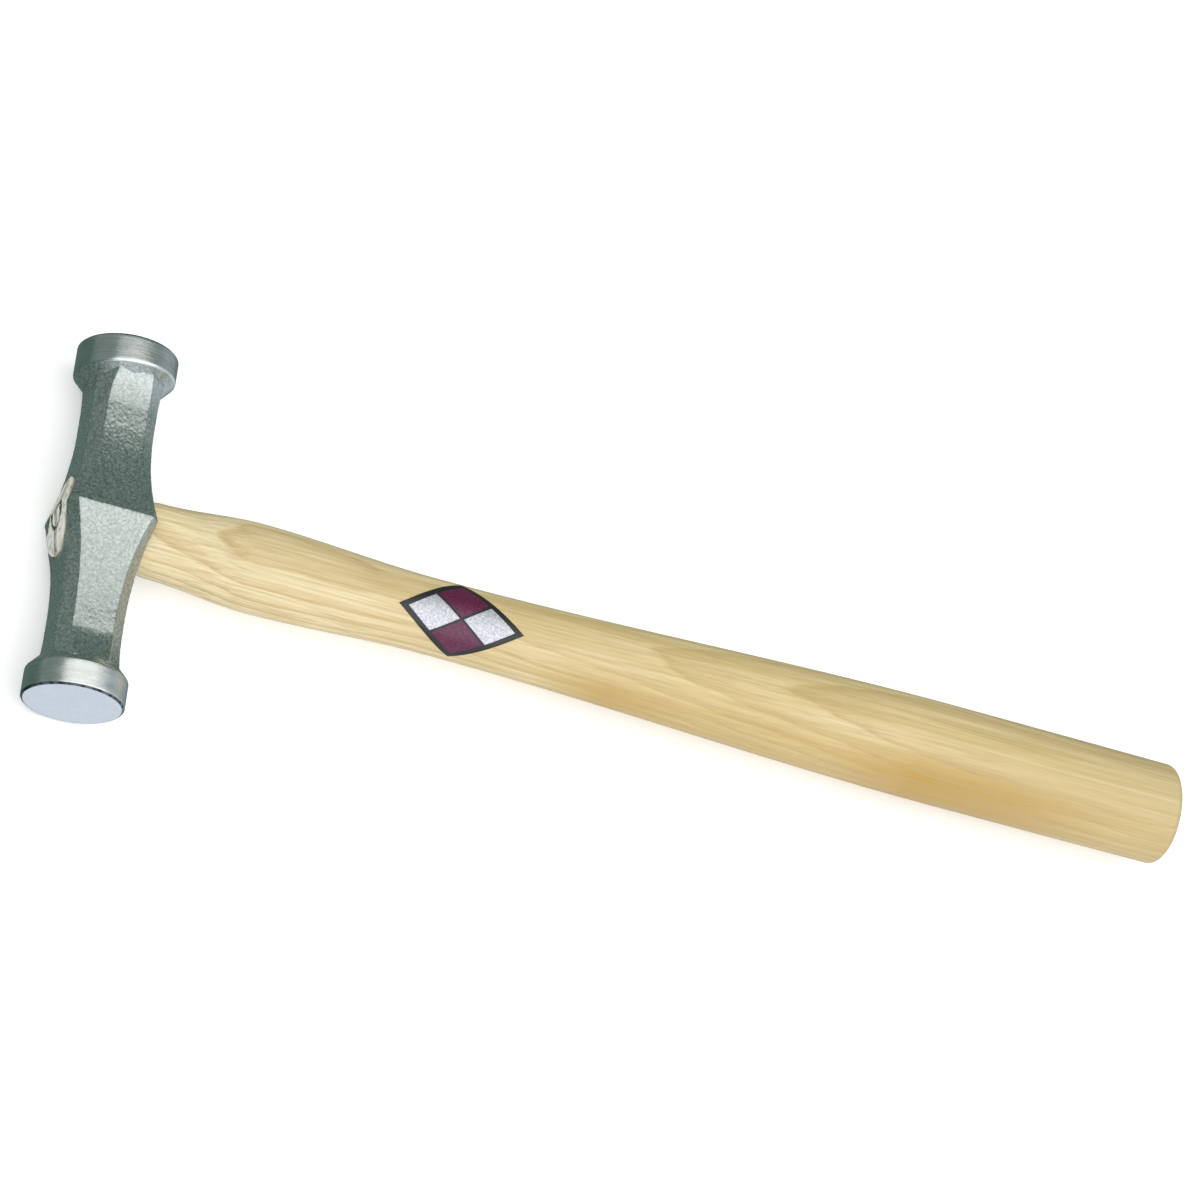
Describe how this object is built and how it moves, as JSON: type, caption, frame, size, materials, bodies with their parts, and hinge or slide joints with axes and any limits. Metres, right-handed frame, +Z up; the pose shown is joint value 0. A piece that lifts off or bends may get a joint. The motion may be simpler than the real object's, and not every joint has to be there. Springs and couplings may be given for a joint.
{
  "type": "planishing hammer",
  "caption": "Double-faced planishing hammer: a waisted octagonal steel head with a flat and a domed round face, wedged on an oval ash handle.",
  "frame": {"origin": "on the surface that the hammer lies on, on its side, under the middle of its bounding box", "axes": "+X along the handle from the head to the butt, +Y along the head towards its domed face, +Z up, away from the surface"},
  "size_m": [0.3323, 0.1012, 0.027],
  "materials": {
    "head": "grey-green hammertone enamel on a forging, with a ground steel band and a polished steel face at each end",
    "handle": "pale ash under thin clear lacquer",
    "wedge_wood": "hardwood end grain, ground flush",
    "ring_steel": "plain steel, ground at its edge",
    "label": "printed foil in black, silver and maroon, with no text"
  },
  "bodies": {
    "root": {"head": "head", "handle": "handle", "wooden_wedge": "wedge_wood", "ring_wedge": "ring_steel", "label": "label"}
  },
  "joints": []
}
